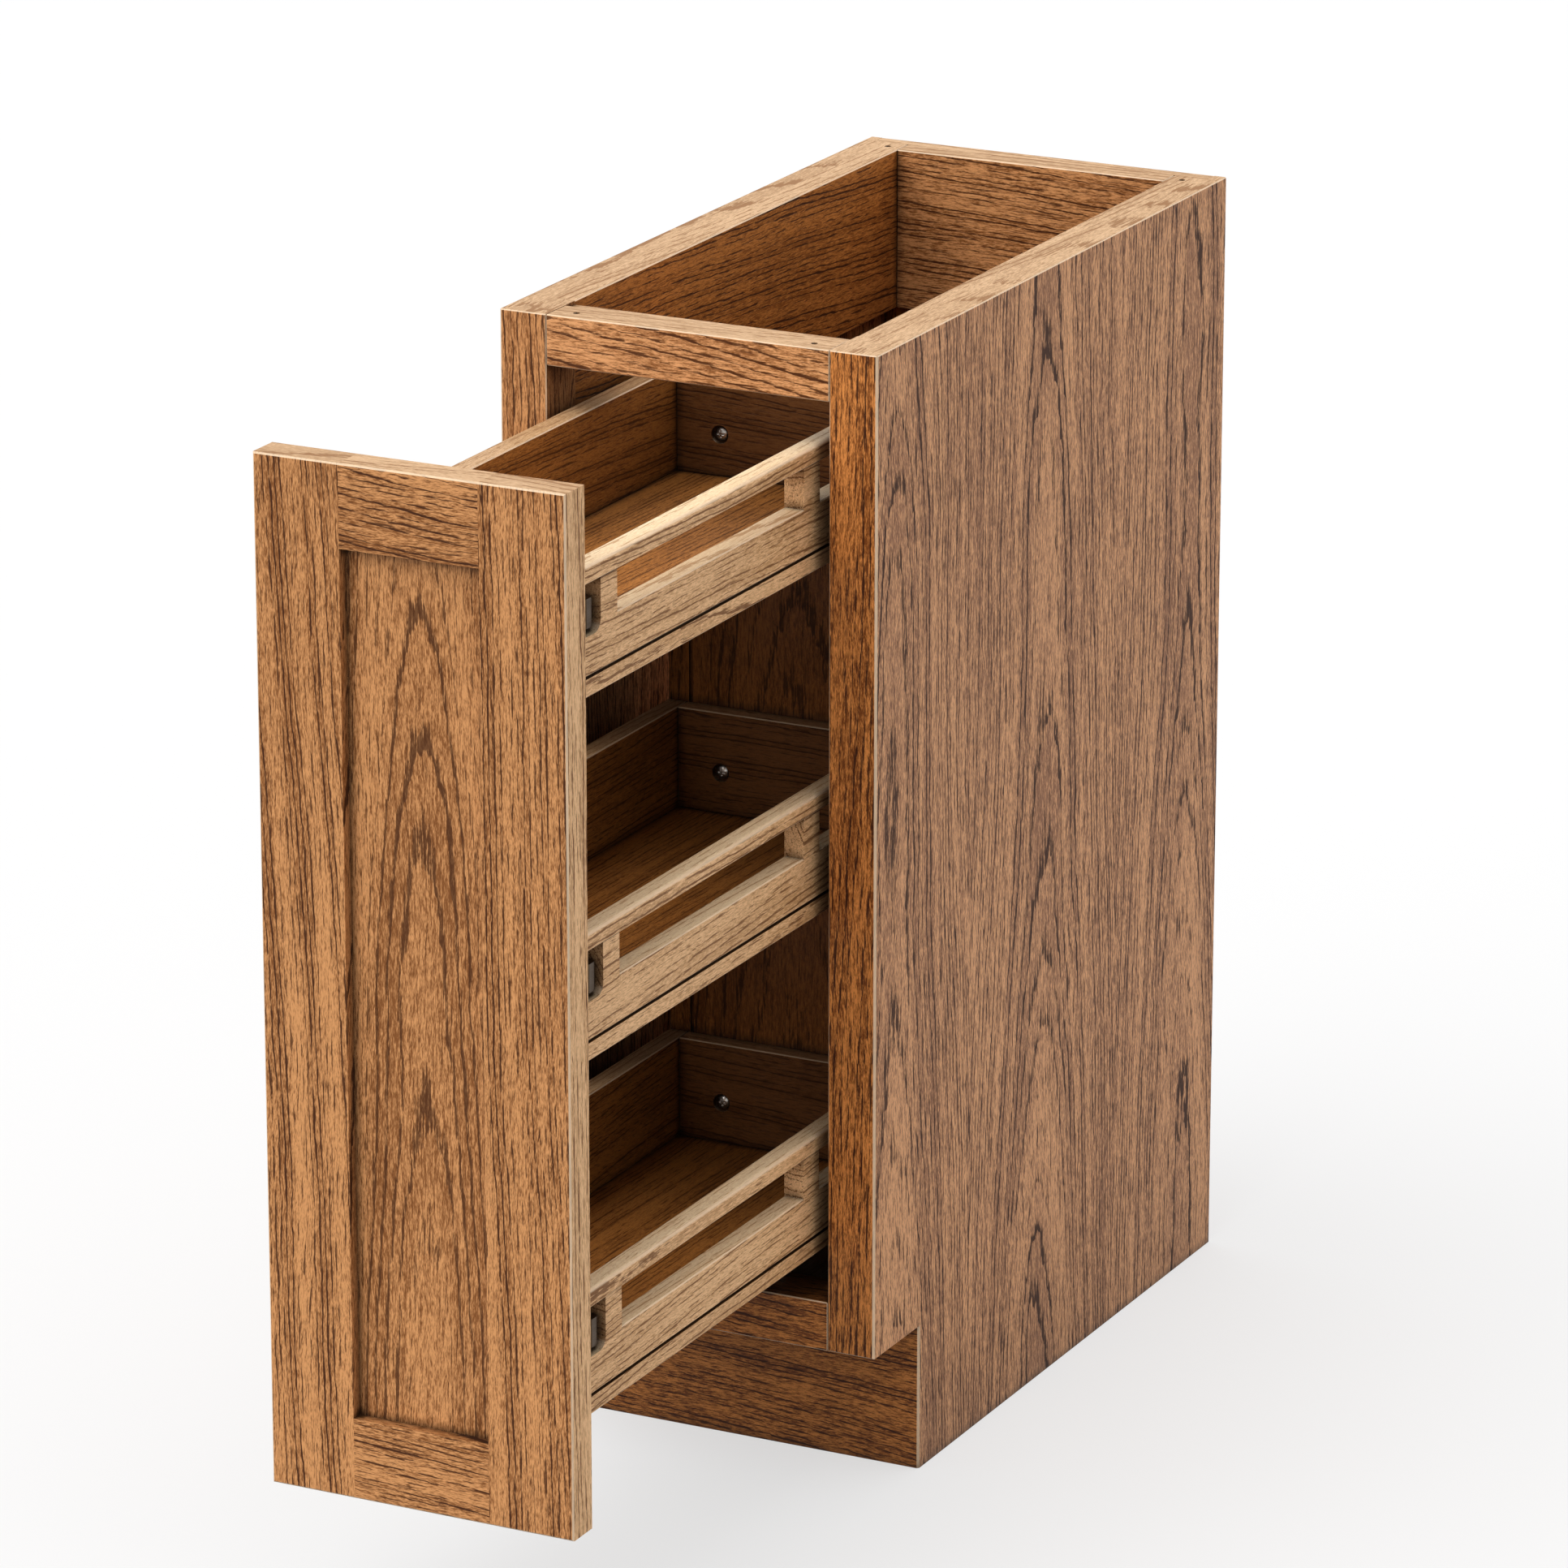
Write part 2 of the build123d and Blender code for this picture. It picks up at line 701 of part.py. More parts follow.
def ball():
    """A ball about the origin, drawn with flats: rings of its girth and of its two caps, lofted together."""
    radius = ball_diameter / 2
    with BuildPart() as bead:
        for tilt in (-70, -30, 30, 70):
            with BuildSketch(Plane.XY.offset(radius * sin(radians(tilt)))):
                RegularPolygon(radius * cos(radians(tilt)), ball_flat_count)
        loft(ruled=True)
    return bead.part


def ball_cage(hand, y_middle, web, tip, row, ball_depth):
    """A ball cage: a thin channel with a pocket for each ball, and the balls standing in their pockets."""
    half = row + cage_sheet / 2
    pocket = ball_diameter + 2 * ball_clearance
    cage = channel(hand, y_middle - cage_length / 2, cage_length, web, tip, half, cage_sheet)
    bead = ball()
    with BuildPart() as assembly:
        add(cage)
        with Locations((slide_x(hand, ball_depth), y_middle, slide_z)):
            with GridLocations(1, ball_pitch, 1, ball_row_count):
                Box(pocket, pocket, 2 * half, mode=Mode.SUBTRACT)
        for height in (-row, row):
            with Locations((slide_x(hand, ball_depth), y_middle, slide_z + height)):
                with GridLocations(1, ball_pitch, 1, ball_row_count):
                    add(bead)
    return assembly.part


for name, hand in (("left", -1), ("right", 1)):
    outer_races = [(outer_ball, outer_row)]
    inner_races = [(inner_ball, inner_row)]
    closed_middle_y = slide_y + slide_length / 2
    save(
        channel(hand, slide_y, slide_length, 0, outer_tip, half_outer, slide_sheet, outer_races),
        f"slide_outer_{name}",
    )
    save(
        channel(
            hand, slide_y - pulled_out / 2, slide_length, middle_web, middle_tip, half_middle, slide_sheet,
            outer_races + inner_races,
        ),
        f"slide_middle_{name}",
    )
    save(
        channel(
            hand, slide_y - pulled_out, slide_length, slide_thickness, inner_tip, half_inner, slide_sheet,
            inner_races,
        ),
        f"slide_inner_{name}",
    )
    save(
        ball_cage(
            hand, closed_middle_y - pulled_out / 4, slide_sheet + cage_gap, outer_tip, outer_row, outer_ball
        ),
        f"outer_ball_cage_{name}",
    )
    save(
        ball_cage(
            hand, closed_middle_y - 3 * pulled_out / 4, middle_web + slide_sheet + cage_gap,
            middle_tip, inner_row, inner_ball,
        ),
        f"inner_ball_cage_{name}",
    )

# Slide angles: steel angles screwed down to the deck, which carry the outer channels
angle_y = (frame_back_y + closed_gap, frame_back_y + closed_gap + angle_length)
angle_x = half_runner + slide_thickness
foot_x = angle_x + angle_thickness + angle_foot / 2
angle_screw_sites = [
    (hand * foot_x, angle_y[0] + angle_length * (n + 0.5) / angle_screw_count)
    for hand in (-1, 1)
    for n in range(angle_screw_count)
]


def cut_angle_screw_holes(part, depth, z):
    """A copy of a part with the angle screws' holes bored down from z."""
    with BuildPart() as bored:
        add(part)
        with BuildSketch(Plane.XY.offset(z)):
            with Locations(*angle_screw_sites):
                RegularPolygon(screw_diameter / 2 + screw_clearance, fastener_flat_count)
        extrude(amount=-depth, mode=Mode.SUBTRACT)
    return bored.part


def slide_angle(hand):
    def at(outward, up):
        return hand * (angle_x + outward), deck_top + up

    top = slide_z + half_outer - deck_top
    with BuildPart() as angle:
        with BuildSketch(section_plane(angle_y[1])):
            with BuildLine():
                Polyline(
                    at(0, 0),
                    at(angle_thickness + angle_foot, 0),
                    at(angle_thickness + angle_foot, angle_thickness),
                    at(angle_thickness, angle_thickness),
                    at(angle_thickness, top),
                    at(0, top),
                    close=True,
                )
            make_face()
        extrude(amount=angle_length)
    return cut_angle_screw_holes(angle.part, angle_thickness, deck_top + angle_thickness)


save(slide_angle(-1), "slide_angle_left")
save(slide_angle(1), "slide_angle_right")

deck_board = board(inside_x, (frame_back_y, back_front_y), (toe_height, deck_top))
save(cut_angle_screw_holes(deck_board, screw_bite + screw_clearance, deck_top), "deck")

with BuildPart() as angle_screws:
    angle_screw = pan_screw(angle_thickness + screw_bite)
    for site_x, site_y in angle_screw_sites:
        with Locations((site_x, site_y, deck_top + angle_thickness)):
            add(angle_screw)
save(angle_screws.part, "angle_screws")
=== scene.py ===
import math

import bpy
import numpy as np
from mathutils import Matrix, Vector


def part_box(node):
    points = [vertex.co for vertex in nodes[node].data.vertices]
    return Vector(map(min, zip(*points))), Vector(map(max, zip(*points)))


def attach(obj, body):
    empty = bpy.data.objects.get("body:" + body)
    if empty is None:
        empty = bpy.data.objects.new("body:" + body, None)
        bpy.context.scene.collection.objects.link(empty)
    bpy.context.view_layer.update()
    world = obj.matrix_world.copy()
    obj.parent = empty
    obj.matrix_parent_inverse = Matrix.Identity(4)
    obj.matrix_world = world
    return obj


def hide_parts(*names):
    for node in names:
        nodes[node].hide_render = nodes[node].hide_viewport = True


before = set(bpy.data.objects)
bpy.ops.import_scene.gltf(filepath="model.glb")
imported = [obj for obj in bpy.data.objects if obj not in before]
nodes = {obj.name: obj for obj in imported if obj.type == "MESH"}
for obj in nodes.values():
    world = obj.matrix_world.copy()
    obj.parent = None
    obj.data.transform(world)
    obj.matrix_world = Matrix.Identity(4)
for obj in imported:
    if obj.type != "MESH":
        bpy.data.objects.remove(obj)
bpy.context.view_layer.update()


# Side panels: two oak-veneered boards that stand the full height of the case, with the grain running up.
# The veneer's leaves are matched edge to edge, and the top edge takes a lighter stain, a painted highlight of
# the light from above.
def add_node(tree, kind, inputs=(), **settings):
    """A shader node of one kind, with its settings and with a value or a link for each input given."""
    node = tree.nodes.new("ShaderNode" + kind)
    for name, value in settings.items():
        setattr(node, name, value)
    for key, value in dict(inputs).items():
        socket = node.inputs[key]
        if isinstance(key, str):
            socket = next(one for one in node.inputs if one.name == key and one.enabled)
        if isinstance(value, bpy.types.NodeSocket):
            tree.links.new(value, socket)
        else:
            socket.default_value = value
    return node


def calc(tree, operation, *values, clamp=False):
    """The result of one arithmetic operation on sockets or numbers."""
    node = add_node(tree, "Math", enumerate(values), operation=operation, use_clamp=clamp)
    return node.outputs["Value"]


def ease(tree, value, low, high):
    """A value carried from 0 at low to 1 at high along a smooth step."""
    limits = {"Value": value, "From Min": low, "From Max": high}
    return add_node(tree, "MapRange", limits, interpolation_type="SMOOTHSTEP").outputs["Result"]


def noise(tree, place, cells, detail=2.0, roughness=0.5):
    """Smooth noise from 0 to 1, with so many cells to the metre across, through and along the grain."""
    scaled = add_node(tree, "VectorMath", {0: place, 1: cells}, operation="MULTIPLY").outputs["Vector"]
    inputs = {"Vector": scaled, "Scale": 1.0, "Detail": detail, "Roughness": roughness}
    return add_node(tree, "TexNoise", inputs).outputs["Fac"]


def swing(tree, value, reach, start=0.0):
    """A noise of 0 to 1 turned into a swing of reach about its middle, added to a start."""
    return calc(tree, "MULTIPLY_ADD", calc(tree, "SUBTRACT", value, 0.5), reach, start)


def mix_colour(tree, factor, first, second):
    """Two colours, or two places, mixed by a factor."""
    colours = {"Factor": factor, "A": first, "B": second}
    node = add_node(tree, "Mix", colours, data_type="RGBA")
    return next(one for one in node.outputs if one.enabled)


def group_tree(name, inputs, outputs):
    """An empty shader node group with named inputs and outputs, and the sockets of its two end nodes."""
    tree = bpy.data.node_groups.new(name, "ShaderNodeTree")
    for in_out, sockets in (("INPUT", inputs), ("OUTPUT", outputs)):
        for socket, kind in sockets.items():
            tree.interface.new_socket(socket, in_out=in_out, socket_type="NodeSocket" + kind)
    return tree, tree.nodes.new("NodeGroupInput").outputs, tree.nodes.new("NodeGroupOutput").inputs


def make_oak_figure():
    """Plain-sawn oak as a board cut from a log. Growth rings lie round a pith line beside the board: a ring's
    number is the distance from the pith, plus a taper along the log and a sway, over the ring spacing. Some
    runs of rings are stronger years and stand out as flames. Open pores are short dark dashes that follow the
    sway: they show where the dashes, the fibres and the line of a ring's early wood add up past a limit. The
    ground goes from light to brown with the flames, a slow cloud, the fibres and the dashes."""
    slow_cells, wave_cells, wobble_cells = (3.5, 3.5, 1.6), (24.0, 24.0, 6.0), (150.0, 150.0, 40.0)
    dash_cells, fibre_cells, cloud_cells = (700.0, 700.0, 30.0), (1000.0, 1000.0, 150.0), (16.0, 16.0, 2.6)
    wave_reach, wobble_reach = 0.008, 0.0026
    early_rise, early_fall = (0.0, 0.10), (0.50, 0.12)
    strong_years, pore_limit = (0.36, 0.66), (0.62, 0.74)
    calm_line, line_pull, fibre_pull = 0.35, 0.36, 0.22
    pore_tone, line_tone = 0.62, 0.20
    plain_brown, flame_brown, cloud_brown, fibre_brown, dash_brown = 0.34, 0.40, 1.0, 3.8, 1.2
    fibre_depth, ground_rough, pore_rough = -0.6, 0.50, 0.20
    inputs = {
        "Board": "Vector", "Log": "Vector", "Pith": "Vector", "Leaf": "Float", "Ring": "Float",
        "Taper": "Float", "Sway": "Float", "Contrast": "Float", "Light": "Color", "Brown": "Color",
        "Dark": "Color",
    }
    outputs = {"Color": "Color", "Roughness": "Float", "Height": "Float"}
    tree, given, result = group_tree("oak_figure", inputs, outputs)
    shifted = add_node(tree, "VectorMath", {0: given["Board"], 1: given["Log"]}, operation="ADD")
    place = shifted.outputs["Vector"]
    slow = swing(tree, noise(tree, place, slow_cells, detail=1.0), 1.0)
    sway = calc(tree, "MULTIPLY", slow, given["Sway"])
    sway = swing(tree, noise(tree, place, wave_cells), wave_reach, sway)
    sway = swing(tree, noise(tree, place, wobble_cells, roughness=0.65), wobble_reach, sway)

    offset = add_node(tree, "VectorMath", {0: given["Board"], 1: given["Pith"]}, operation="SUBTRACT")
    parts = add_node(tree, "SeparateXYZ", {0: offset.outputs["Vector"]}).outputs
    across = calc(tree, "PINGPONG", parts["X"], given["Leaf"])
    square = calc(tree, "MULTIPLY_ADD", parts["Y"], parts["Y"], calc(tree, "MULTIPLY", across, across))
    radius = calc(tree, "MULTIPLY_ADD", parts["Z"], given["Taper"], calc(tree, "SQRT", square))
    ring = calc(tree, "DIVIDE", calc(tree, "ADD", radius, sway), given["Ring"])
    part = calc(tree, "FRACT", ring)
    early = calc(tree, "MULTIPLY", ease(tree, part, *early_rise), ease(tree, part, *early_fall))
    year = add_node(tree, "TexNoise", {"W": ring, "Scale": 0.30, "Detail": 3.0}, noise_dimensions="1D")
    flame = ease(tree, year.outputs["Fac"], *strong_years)

    swayed = add_node(tree, "CombineXYZ", {"X": sway}).outputs["Vector"]
    grain = add_node(tree, "VectorMath", {0: place, 1: swayed}, operation="ADD").outputs["Vector"]
    dashes = noise(tree, grain, dash_cells, roughness=0.6)
    fibres = noise(tree, grain, fibre_cells, roughness=0.8)
    cloud = noise(tree, place, cloud_cells)
    lines = calc(tree, "MULTIPLY", early, calc(tree, "MULTIPLY_ADD", flame, 1 - calm_line, calm_line))
    crowd = calc(tree, "MULTIPLY_ADD", lines, line_pull, swing(tree, fibres, fibre_pull, dashes))
    pores = ease(tree, crowd, *pore_limit)
    dark = calc(tree, "MULTIPLY", pores, calc(tree, "MULTIPLY_ADD", lines, line_tone, pore_tone))
    dark = calc(tree, "MULTIPLY", dark, given["Contrast"], clamp=True)
    brown = calc(tree, "MULTIPLY_ADD", flame, flame_brown, swing(tree, cloud, cloud_brown, plain_brown))
    brown = swing(tree, dashes, dash_brown, swing(tree, fibres, fibre_brown, brown))
    ground = mix_colour(tree, calc(tree, "ADD", brown, 0.0, clamp=True), given["Light"], given["Brown"])
    depth = swing(tree, fibres, fibre_depth, calc(tree, "MULTIPLY", dark, -1.0))
    tree.links.new(mix_colour(tree, dark, ground, given["Dark"]), result["Color"])
    tree.links.new(calc(tree, "MULTIPLY_ADD", dark, pore_rough, ground_rough), result["Roughness"])
    tree.links.new(depth, result["Height"])
    return tree


def make_board_faces():
    """Masks of a board's faces. Up is 1 on its upper faces and Side on its left and right faces. The edge mask
    is
    1 on a broken edge, whose direction lies between the three directions of the case, and carries a painted
    highlight. The joint mask comes from ambient occlusion over a short reach: it is 1 in the narrow gap between
    two pieces, for a dark joint line, and in tight inner corners, for painted shade. The deep mask comes from
    ambient occlusion over a long reach and is 1 far inside the case, for painted shade."""
    facing, broken = (0.75, 0.90), (0.97, 0.80)
    masks = {name: "Float" for name in ("Up", "Side", "HighlitEdge", "JointAndShade", "DeepShade")}
    tree, _, result = group_tree("board_faces", {}, masks)
    parts = add_node(tree, "SeparateXYZ", {0: add_node(tree, "NewGeometry").outputs["True Normal"]}).outputs
    sizes = [calc(tree, "ABSOLUTE", parts[axis]) for axis in "XYZ"]
    largest = calc(tree, "MAXIMUM", calc(tree, "MAXIMUM", sizes[0], sizes[1]), sizes[2])
    tree.links.new(ease(tree, parts["Z"], *facing), result["Up"])
    tree.links.new(ease(tree, sizes[0], *facing), result["Side"])
    tree.links.new(ease(tree, largest, *broken), result["HighlitEdge"])
    # Ambient occlusion over a short and a long reach, made into masks of painted shade; the short one also
    # draws dark joint lines.
    for name, reach, open_room, closed_room in (("JointAndShade", 0.008, 0.90, 0.52), ("DeepShade", 0.30, 0.52, 0.08)):
        room = add_node(tree, "AmbientOcclusion", {"Distance": reach}, samples=4).outputs["AO"]
        tree.links.new(ease(tree, room, open_room, closed_room), result[name])
    return tree


oak_figure = make_oak_figure()
board_faces = make_board_faces()

# Each stain has three tones: the light ground, the brown ground and the dark pores. Several stains are lit or
# shaded copies of one oak: the warm stain and the stains for the inside of the case, the trays' insides and the
# trays' backs are darker copies, painted shade on faces that lie in shade, and the stains for top edges and
# sills are paler copies, a painted highlight on faces that look up at the lamp.
STAINS = {
    "front": ((0.80, 0.375, 0.143, 1), (0.26, 0.090, 0.021, 1), (0.060, 0.015, 0.002, 1)),
    "pale": ((0.96, 0.475, 0.200, 1), (0.34, 0.125, 0.034, 1), (0.085, 0.023, 0.004, 1)),
    "shaded_warm": ((0.84, 0.318, 0.080, 1), (0.185, 0.050, 0.008, 1), (0.035, 0.007, 0.001, 1)),
    "side": ((0.86, 0.433, 0.203, 1), (0.255, 0.098, 0.036, 1), (0.050, 0.015, 0.004, 1)),
    "lit_top": ((0.72, 0.455, 0.245, 1), (0.46, 0.255, 0.112, 1), (0.34, 0.168, 0.068, 1)),
    "lit_sill": ((1.00, 0.78, 0.50, 1), (0.84, 0.58, 0.33, 1), (0.50, 0.27, 0.12, 1)),
    "shaded_inside": ((0.64, 0.245, 0.056, 1), (0.27, 0.086, 0.015, 1), (0.045, 0.012, 0.002, 1)),
    "tray": ((0.98, 0.605, 0.315, 1), (0.57, 0.305, 0.128, 1), (0.15, 0.052, 0.014, 1)),
    "shaded_tray_inside": ((0.56, 0.220, 0.048, 1), (0.26, 0.090, 0.016, 1), (0.060, 0.016, 0.002, 1)),
    "shaded_tray_back": ((0.27, 0.110, 0.034, 1), (0.15, 0.055, 0.014, 1), (0.040, 0.011, 0.002, 1)),
}
# A painted highlight for broken edges, one dark tone for joint lines and for painted shade, and how much of
# each is mixed in.
EDGE_HIGHLIGHT = (1.00, 0.76, 0.52, 1)
SHADE_AND_JOINT_DARK = (0.012, 0.005, 0.002, 1)
EDGE_HIGHLIGHT_SHARE = 0.75
JOINT_AND_SHADE_SHARE = 0.90


def oak(
    name, stain, axes, log, pith,
    turned=(), leaf=10.0, ring=0.0042, taper=0.03, sway=0.03, contrast=1.0, deep_shade=0.90,
):
    """A lacquered oak material. The three letters of axes say which directions of the case run across,
    through and along the board. A face named in turned takes a stain and directions of its own. Broken edges
    get a painted highlight, joints are dark and tight corners get painted shade, and the last argument says how
    dark the painted shade makes the board far inside the case."""
    material = bpy.data.materials.new("oak_" + name)
    material.use_nodes = True
    tree = material.node_tree
    tree.nodes.clear()
    parts = add_node(tree, "SeparateXYZ", {0: add_node(tree, "TexCoord").outputs["Object"]}).outputs
    faces = add_node(tree, "Group", node_tree=board_faces).outputs

    def way(letters):
        """The place on the piece, with the directions of the case in the order of the letters."""
        return add_node(tree, "CombineXYZ", enumerate(parts[letter] for letter in letters)).outputs["Vector"]

    board, tones = way(axes), STAINS[stain]
    for face, face_stain, letters in turned:
        board = mix_colour(tree, faces[face], board, way(letters))
        tones = [mix_colour(tree, faces[face], *pair) for pair in zip(tones, STAINS[face_stain])]
    given = {
        "Board": board, "Log": log, "Pith": pith, "Leaf": leaf, "Ring": ring, "Taper": taper, "Sway": sway,
        "Contrast": contrast, "Light": tones[0], "Brown": tones[1], "Dark": tones[2],
    }
    figure = add_node(tree, "Group", given, node_tree=oak_figure).outputs
    colour = figure["Color"]
    # Painted highlight on broken edges, painted shade far inside the case, and dark joint lines with painted
    # shade in tight corners.
    for face, share, tone in (
        ("HighlitEdge", EDGE_HIGHLIGHT_SHARE, EDGE_HIGHLIGHT),
        ("DeepShade", deep_shade, SHADE_AND_JOINT_DARK),
        ("JointAndShade", JOINT_AND_SHADE_SHARE, SHADE_AND_JOINT_DARK),
    ):
        colour = mix_colour(tree, calc(tree, "MULTIPLY", faces[face], share), colour, tone)
    bump = add_node(tree, "Bump", {"Strength": 0.6, "Distance": 0.0004, "Height": figure["Height"]})
    surface = {
        "Base Color": colour, "Roughness": figure["Roughness"], "Normal": bump.outputs["Normal"],
        "Coat Weight": 0.05, "Coat Roughness": 0.35, "Specular IOR Level": 0.20,
    }
    shader = add_node(tree, "BsdfPrincipled", surface)
    tree.links.new(shader.outputs["BSDF"], add_node(tree, "OutputMaterial").inputs["Surface"])
    return material


def dress(node, material):
    """Give a node of the frame one material all over."""
    mesh = nodes[node].data
    mesh.materials.clear()
    mesh.materials.append(material)


# Upward faces turn their grain and take a paler stain, a painted highlight of the light from above.
LONG_LIT_TOP = (("Up", "lit_top", "XZY"),)
CROSS_LIT_TOP = (("Up", "lit_top", "YZX"),)
veneer = {"turned": LONG_LIT_TOP, "leaf": 0.13, "taper": 0.035, "sway": 0.05, "contrast": 1.3}
for name, log, pith in (
    ("left_side_panel", (7.3, 2.1, 5.2), (0.16, -0.085, 0)),
    ("right_side_panel", (1.3, 4.1, 2.2), (0.19, 0.085, 0)),
):
    dress(name, oak(name, "side", "YXZ", log, pith, **veneer))

# Face frame: two stiles with the rails doweled between them, all in solid oak. The stiles' grain runs up and
# the rails' runs across, and a dark hairline marks each joint. The right stile and the bottom rail take a
# darker, warmer stain than the left stile, painted shade.
for name, stain, axes, log, pith, more in (
    ("left_stile", "front", "XYZ", (3.1, 1.7, 8.4), (-0.23, 0.0, 0), {"turned": LONG_LIT_TOP}),
    ("right_stile", "shaded_warm", "XYZ", (9.2, 5.5, 3.9), (0.24, 0.0, 0), {"turned": LONG_LIT_TOP}),
    ("top_rail", "pale", "ZYX", (4.4, 6.3, 1.1), (0.78, 0.0, 0), {"turned": CROSS_LIT_TOP, "taper": 0.09}),
    ("bottom_rail", "shaded_warm", "ZYX", (2.4, 8.3, 6.1), (0.02, 0.0, 0), {"taper": 0.07}),
    ("frame_dowels", "front", "ZYX", (0.4, 0.3, 0.1), (0.0, 0.0, 0), {}),
):
    dress(name, oak(name, stain, axes, log, pith, contrast=1.2, **more))

# Inside of the case: toe kick, hanging rail, side rails, back, deck and base rails, all oak boards glued and
# screwed between the sides. Most of them only show in the shade, and all but the hanging rail take a darker
# stain as painted shade: the toe kick a warm one, the rest a dark inside one.
for name, stain, axes, log, pith, taper, turned in (
    ("toe_kick", "shaded_warm", "ZYX", (6.4, 2.3, 3.1), (-0.12, 0.03, 0), 0.06, ()),
    ("hanging_rail", "front", "ZYX", (5.5, 0.9, 4.7), (0.72, 0.45, 0), 0.05, CROSS_LIT_TOP),
    ("left_top_side_rail", "shaded_inside", "ZXY", (8.8, 3.9, 0.7), (0.70, -0.16, 0), 0.05, LONG_LIT_TOP),
    ("right_top_side_rail", "shaded_inside", "ZXY", (1.8, 7.9, 5.7), (0.74, 0.16, 0), 0.05, LONG_LIT_TOP),
    ("back_panel", "shaded_inside", "XYZ", (2.8, 9.9, 1.7), (0.05, 0.56, 0), 0.03, CROSS_LIT_TOP),
    ("deck", "shaded_inside", "XZY", (4.8, 1.9, 7.7), (0.05, 0.10, 0), 0.03, ()),
    ("deck_cleats", "shaded_inside", "ZXY", (3.8, 2.9, 6.7), (0.05, 0.10, 0), 0.03, ()),
    ("rear_base_rail", "shaded_inside", "ZYX", (5.8, 6.9, 2.7), (0.0, 0.45, 0), 0.03, ()),
):
    dress(name, oak(name, stain, axes, log, pith, turned, taper=taper, contrast=1.2))


# Slides: three nested channels of zinc-plated rolled steel on each side, with ball cages of bright steel
# between them and a steel angle on the deck that carries the outer channel.
def make_steel_finish():
    """Plated steel: fine rolling lines along the depth of the case under a soft cloudy tarnish, which give a
    tone and a roughness."""
    inputs = {"Place": "Vector", "Tone": "Color", "Dull": "Color"}
    tree, given, result = group_tree("steel_finish", inputs, {"Color": "Color", "Roughness": "Float"})
    line_cells, cloud_cells = (900.0, 25.0, 900.0), (60.0, 60.0, 60.0)
    lines = noise(tree, given["Place"], line_cells)
    cloud = noise(tree, given["Place"], cloud_cells, detail=3.0)
    dull = calc(tree, "ADD", swing(tree, lines, 0.5), swing(tree, cloud, 0.6, 0.3), clamp=True)
    tree.links.new(mix_colour(tree, dull, given["Tone"], given["Dull"]), result["Color"])
    tree.links.new(swing(tree, cloud, 0.35, swing(tree, lines, 0.25, 0.34)), result["Roughness"])
    return tree


steel_finish = make_steel_finish()


def steel(name, tone, dull=(0.12, 0.11, 0.10, 1)):
    """A plated steel material, with a bright tone and the tone that it tarnishes to."""
    material = bpy.data.materials.new(name)
    material.use_nodes = True
    tree = material.node_tree
    tree.nodes.clear()
    given = {"Place": add_node(tree, "TexCoord").outputs["Object"], "Tone": tone, "Dull": dull}
    finish = add_node(tree, "Group", given, node_tree=steel_finish).outputs
    surface = {"Base Color": finish["Color"], "Roughness": finish["Roughness"], "Metallic": 1.0}
    shader = add_node(tree, "BsdfPrincipled", surface)
    tree.links.new(shader.outputs["BSDF"], add_node(tree, "OutputMaterial").inputs["Surface"])
    return material


slide_steel = steel("slide_steel", (0.66, 0.67, 0.69, 1))
cage_steel = steel("cage_steel", (0.78, 0.78, 0.77, 1))
screw_steel = steel("screw_steel", (0.72, 0.69, 0.64, 1))
bracket_steel = steel("bracket_steel", (0.085, 0.055, 0.032, 1), (0.035, 0.022, 0.014, 1))
for hand in ("left", "right"):
    for channel in ("slide_outer_", "slide_middle_", "slide_inner_", "slide_angle_"):
        dress(channel + hand, slide_steel)
    for cage in ("outer_ball_cage_", "inner_ball_cage_"):
        dress(cage + hand, cage_steel)
dress("angle_screws", screw_steel)

# Trays: three open boxes of light oak. Each has a floor board, a solid left side, front and back, and on the
# right a low board with posts that carry a round-edged rail. The floor's top, the left side and the front take
# a darker stain and the back a darker one still, painted shade, while the tops of the sides, the front and the
# rail take paler stains, a painted highlight. The painted shade far inside the case is weaker on the trays.
SHADED_FLOOR_TOP = (("Up", "shaded_tray_inside", "XZY"),)
LIT_SILL_TOP = (("Up", "lit_sill", "XZY"),)
BACK_TOP = (("Up", "tray", "YZX"),)
LOG_STEP = (0.7, 0.3, 0.9)
TRAY_DEEP_SHADE = 0.62
for number in (1, 2, 3):
    log = np.array((1.37, 2.11, 3.71)) * number
    for piece, stain, axes, pith, taper, turned in (
        ("floor", "tray", "ZXY", (0.60, 0.45, 0), 0.03, SHADED_FLOOR_TOP),
        ("left_side", "shaded_tray_inside", "ZXY", (0.15 + 0.25 * number, -0.14, 0), 0.04, LONG_LIT_TOP),
        ("right_side", "tray", "ZXY", (0.05 + 0.25 * number, 0.16, 0), 0.04, LIT_SILL_TOP),
        ("rail", "tray", "ZXY", (0.30, 0.30, 0), 0.01, LIT_SILL_TOP),
        ("front", "shaded_tray_inside", "ZYX", (0.02, 0.10, 0), 0.03, CROSS_LIT_TOP),
        ("back", "shaded_tray_back", "ZYX", (0.02, 0.10, 0), 0.03, BACK_TOP),
    ):
        name = f"tray_{number}_{piece}"
        log = log + LOG_STEP
        dress(name, oak(name, stain, axes, log.tolist(), pith, turned, taper=taper, deep_shade=TRAY_DEEP_SHADE))

# Rear upright and runner beam: the board that ties the trays together behind, with a bead down each edge, and
# the oak beam below the lowest tray that the slides' inner channels are screwed to.
# The rear upright takes the dark inside stain, painted shade.
dress("rear_upright", oak("rear_upright", "shaded_inside", "XYZ", (2.7, 3.4, 4.1), (0.005, 0.2, 0)))
dress("runner_beam", oak("runner_beam", "tray", "XZY", (1.7, 5.4, 2.1), (0.005, 0.2, 0)))


